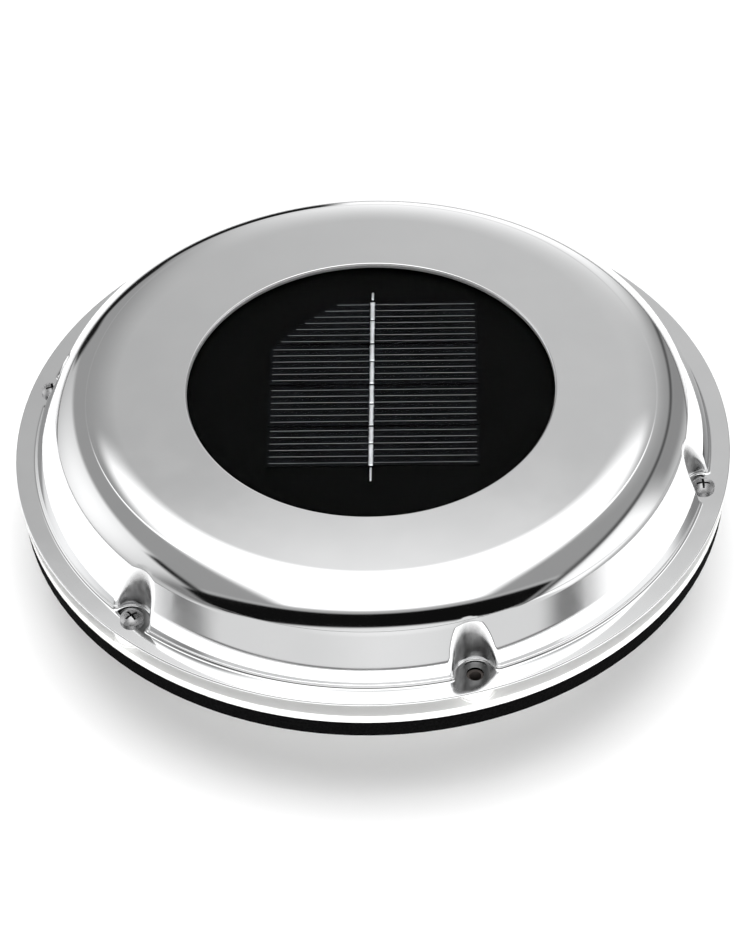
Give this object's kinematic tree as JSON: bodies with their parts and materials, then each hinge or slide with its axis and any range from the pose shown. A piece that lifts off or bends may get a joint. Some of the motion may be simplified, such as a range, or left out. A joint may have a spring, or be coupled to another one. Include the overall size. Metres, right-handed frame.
{
  "type": "solar attic fan",
  "caption": "Round solar roof ventilator: polished pressed cover with a panel in its crown, a ducted base on a gasket, and a small motor and fan over a grille.",
  "frame": {"origin": "on the duct's axis, in the plane of the roof's surface, which is the underside of the gasket", "axes": "+Z out of the roof along the duct; the leads and the switch lie towards +X; -Y is the side with the empty cover hole"},
  "size_m": [0.215, 0.215, 0.0664],
  "materials": {
    "polished_steel": "mirror polished",
    "screw_steel": "bright",
    "seal_rubber": "matte",
    "gasket_foam": "closed-cell foam",
    "clear_window": "clear gloss",
    "wafer": "dark coated silicon",
    "tinned_ribbon": "bright solder",
    "board_black": "satin",
    "pale_plastic": "moulded",
    "motor_steel": "plated",
    "ferrite": "sintered",
    "bronze": "sintered bronze",
    "brass": "turned",
    "copper": "enamelled copper",
    "lamination": "stacked",
    "white_nylon": "moulded",
    "screen_wire": "woven wire",
    "switch_black": "moulded",
    "switch_red": "moulded",
    "lead_red": "insulation",
    "lead_black": "insulation"
  },
  "bodies": {
    "housing": {"cover": "polished_steel", "cover_screws": "screw_steel", "panel_seal": "seal_rubber", "panel_window": "clear_window", "solar_cells": "wafer", "cell_ribbons": "tinned_ribbon", "cell_board": "board_black", "panel_carrier": "pale_plastic", "carrier_screws": "screw_steel", "base": "pale_plastic", "roof_gasket": "gasket_foam", "motor_can": "motor_steel", "motor_endcap": "white_nylon", "motor_magnets": "ferrite", "front_bush": "bronze", "rear_bush": "bronze", "motor_brushes": "copper", "motor_terminals": "brass", "motor_retainer": "pale_plastic", "retainer_screws": "screw_steel", "grille": "pale_plastic", "grille_screws": "screw_steel", "insect_screen": "screen_wire", "switch_body": "switch_black", "switch_terminals": "brass", "panel_lead_red": "lead_red", "panel_lead_black": "lead_black", "switch_lead_red": "lead_red"},
    "rotor": {"motor_shaft": "motor_steel", "thrust_washers": "white_nylon", "armature_core": "lamination", "armature_coils": "copper", "commutator": "copper", "hub_insert": "brass", "fan": "white_nylon", "fan_nose": "white_nylon"},
    "slider": {"switch_slider": "switch_red"}
  },
  "joints": [
    {"name": "fan_spin", "type": "hinge", "parent": "housing", "child": "rotor", "pos_m": [0, 0, 0], "axis": [0, 0, 1], "continuous": true},
    {"name": "switch_slide", "type": "slide", "parent": "housing", "child": "slider", "axis": [1, 0, 0], "range_m": [0, 0.004]}
  ]
}
